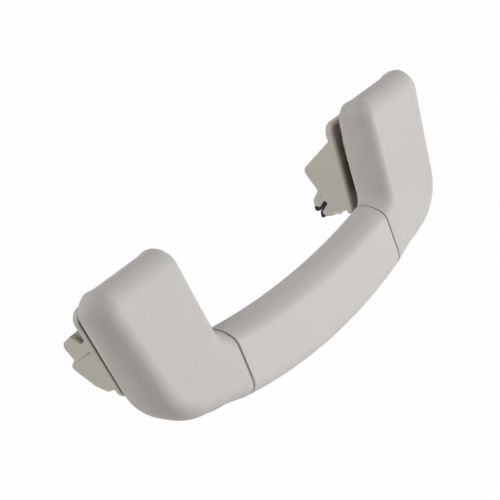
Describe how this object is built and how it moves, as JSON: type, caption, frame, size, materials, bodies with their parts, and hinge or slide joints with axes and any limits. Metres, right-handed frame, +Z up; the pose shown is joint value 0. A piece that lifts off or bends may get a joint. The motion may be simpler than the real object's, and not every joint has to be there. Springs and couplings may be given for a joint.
{
  "type": "roof grab handle",
  "caption": "Fold-down roof grab handle: an arched bar between L-shaped end caps, hinged on hooked clip-in brackets with a return spring and a rotary damper.",
  "frame": {"origin": "midway between the two brackets, on the plane of their seats on the roof rail, level with the hinge axis", "axes": "+X along the bar, +Y into the roof rail, away from the cabin, +Z up, from the bar towards the hinge"},
  "size_m": [0.2218, 0.0515, 0.0813],
  "materials": {
    "grip_plastic": "fine-grained moulded plastic, warm light grey",
    "cap_plastic": "fine-grained moulded plastic, warm light grey, a shade darker than the grip",
    "bracket_plastic": "plain moulded plastic, warmer grey-beige",
    "dark_spring_steel": "blackened spring steel strip and wire",
    "bright_steel": "zinc-plated steel",
    "dark_plastic": "black moulded damper housing",
    "pale_plastic": "natural-coloured bearing plastic",
    "rubber": "soft black rubber"
  },
  "bodies": {
    "brackets": {"left_bracket": "bracket_plastic", "right_bracket": "bracket_plastic", "left_retaining_clip": "dark_spring_steel", "right_retaining_clip": "dark_spring_steel", "left_hinge_pin": "bright_steel", "right_hinge_pin": "bright_steel", "left_pin_ring": "dark_spring_steel", "right_pin_ring": "dark_spring_steel", "left_stop_buffer": "rubber", "right_stop_buffer": "rubber", "spring_sleeve": "pale_plastic", "return_spring": "dark_spring_steel", "damper_housing": "dark_plastic", "damper_cover": "pale_plastic"},
    "handle": {"grip_core": "grip_plastic", "left_end_cap": "cap_plastic", "right_end_cap": "cap_plastic", "left_cap_screw": "bright_steel", "right_cap_screw": "bright_steel", "damper_rotor": "pale_plastic"}
  },
  "joints": [
    {"name": "fold", "type": "hinge", "parent": "brackets", "child": "handle", "pos_m": [0, -0.0148, 0], "axis": [-1, 0, 0], "range_deg": [0, 85], "stiffness_Nm_per_rad": 0.15, "springref_deg": -51.57, "deforming": ["return_spring"]}
  ]
}
